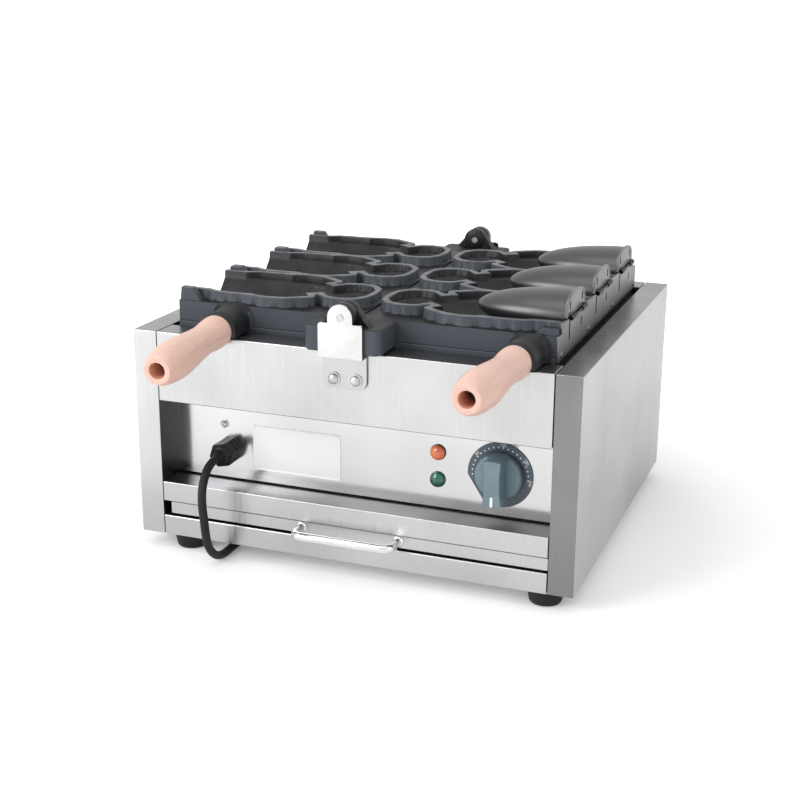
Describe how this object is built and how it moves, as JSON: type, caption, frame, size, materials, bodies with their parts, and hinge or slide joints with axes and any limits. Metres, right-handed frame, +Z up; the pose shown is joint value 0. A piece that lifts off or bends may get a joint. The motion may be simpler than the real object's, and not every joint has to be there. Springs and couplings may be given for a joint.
{
  "type": "taiyaki maker",
  "caption": "Table-top cooker with two hinged cast fish moulds, wooden handles, hinged mouth inserts, a dial and a drip tray in a sheet steel body.",
  "frame": {"origin": "on the surface it stands on, under the middle of the machine with its handles and without its mains lead", "axes": "+X to the right seen from the front, +Y to the back, +Z up"},
  "size_m": [0.43, 0.6474, 0.2706],
  "materials": {
    "steel": "brushed stainless steel sheet, fine vertical grain",
    "zinc": "plain zinc-plated steel",
    "iron": "dark cast iron, seasoned, slightly rough",
    "insert_metal": "dark cast metal, smoother than the moulds",
    "wood": "pale pinkish beech, sealed",
    "black": "black plastic",
    "black_steel": "blackened steel",
    "rubber": "black rubber",
    "chrome": "chrome plated",
    "orange_lens": "translucent orange lens",
    "green_lens": "translucent green lens",
    "slate": "slate blue-grey moulded plastic",
    "dial": "slate grey disc with white dots and plain numbers",
    "ceramic": "ivory ceramic",
    "copper": "dull copper",
    "heater_sheath": "dark oxidised heater tube",
    "plate": "bare satin label plate",
    "dark_strip": "heat-darkened steel strip, satin"
  },
  "bodies": {
    "housing": {"base_pan": "steel", "left_side_panel": "steel", "right_side_panel": "steel", "upper_front_panel": "steel", "upper_rear_panel": "steel", "control_panel": "steel", "ledge_rail": "steel", "bottom_rail": "steel", "back_cover": "steel", "back_screws": "zinc", "support_frame": "zinc", "heat_shield": "zinc", "left_heater": "heater_sheath", "right_heater": "heater_sheath", "heater_brackets": "zinc", "thermostat": "ceramic", "thermostat_bulb": "copper", "dial_ring": "dial", "orange_lamp": "orange_lens", "green_lamp": "green_lens", "lamp_holders": "black", "cable_gland": "black", "gland_locknut": "black", "earth_screw": "zinc", "rating_plate": "plate", "terminal_block": "ceramic", "front_hinge_bracket": "steel", "rear_hinge_bracket": "steel", "bracket_screws": "zinc", "hinge_pins": "zinc", "feet": "rubber", "foot_screws": "zinc", "tray_runners": "zinc", "cord_drop": "rubber", "cord_run": "rubber", "cord_coil": "rubber", "cord_tail": "rubber", "mains_plug": "rubber"},
    "left_mould_body": {"left_mould": "iron", "left_handle_rod": "black_steel", "left_grip": "wood", "left_grip_nut": "zinc"},
    "right_mould_body": {"right_mould": "iron", "end_strip": "dark_strip", "strip_screws": "zinc", "insert_hinge_pins": "zinc", "right_handle_rod": "black_steel", "right_grip": "wood", "right_grip_nut": "zinc"},
    "front_insert_body": {"front_insert": "insert_metal", "front_insert_leaf": "dark_strip"},
    "middle_insert_body": {"middle_insert": "insert_metal", "middle_insert_leaf": "dark_strip"},
    "rear_insert_body": {"rear_insert": "insert_metal", "rear_insert_leaf": "dark_strip"},
    "tray_body": {"drip_tray": "steel", "tray_handle": "chrome", "tray_handle_screws": "zinc"},
    "knob_body": {"knob": "slate", "thermostat_spindle": "zinc"}
  },
  "joints": [
    {"name": "left_mould_fold", "type": "hinge", "parent": "housing", "child": "left_mould_body", "pos_m": [0, 0.05411, 0.2506], "axis": [0, 1, 0], "range_deg": [0, 180]},
    {"name": "right_mould_fold", "type": "hinge", "parent": "housing", "child": "right_mould_body", "pos_m": [0, 0.05411, 0.2506], "axis": [0, 1, 0], "range_deg": [-180, 0]},
    {"name": "front_insert_swing", "type": "hinge", "parent": "right_mould_body", "child": "front_insert_body", "pos_m": [0.1875, -0.04839, 0.251], "axis": [0, 1, 0], "range_deg": [0, 170]},
    {"name": "middle_insert_swing", "type": "hinge", "parent": "right_mould_body", "child": "middle_insert_body", "pos_m": [0.1875, 0.05411, 0.251], "axis": [0, 1, 0], "range_deg": [0, 170]},
    {"name": "rear_insert_swing", "type": "hinge", "parent": "right_mould_body", "child": "rear_insert_body", "pos_m": [0.1875, 0.15661, 0.251], "axis": [0, 1, 0], "range_deg": [0, 170]},
    {"name": "tray_slide", "type": "slide", "parent": "housing", "child": "tray_body", "axis": [0, -1, 0], "range_m": [0, 0.22], "deforming": ["cord_drop"]},
    {"name": "knob_turn", "type": "hinge", "parent": "housing", "child": "knob_body", "pos_m": [0.1367, -0.10689, 0.1096], "axis": [0, 1, 0], "range_deg": [0, 300]}
  ]
}
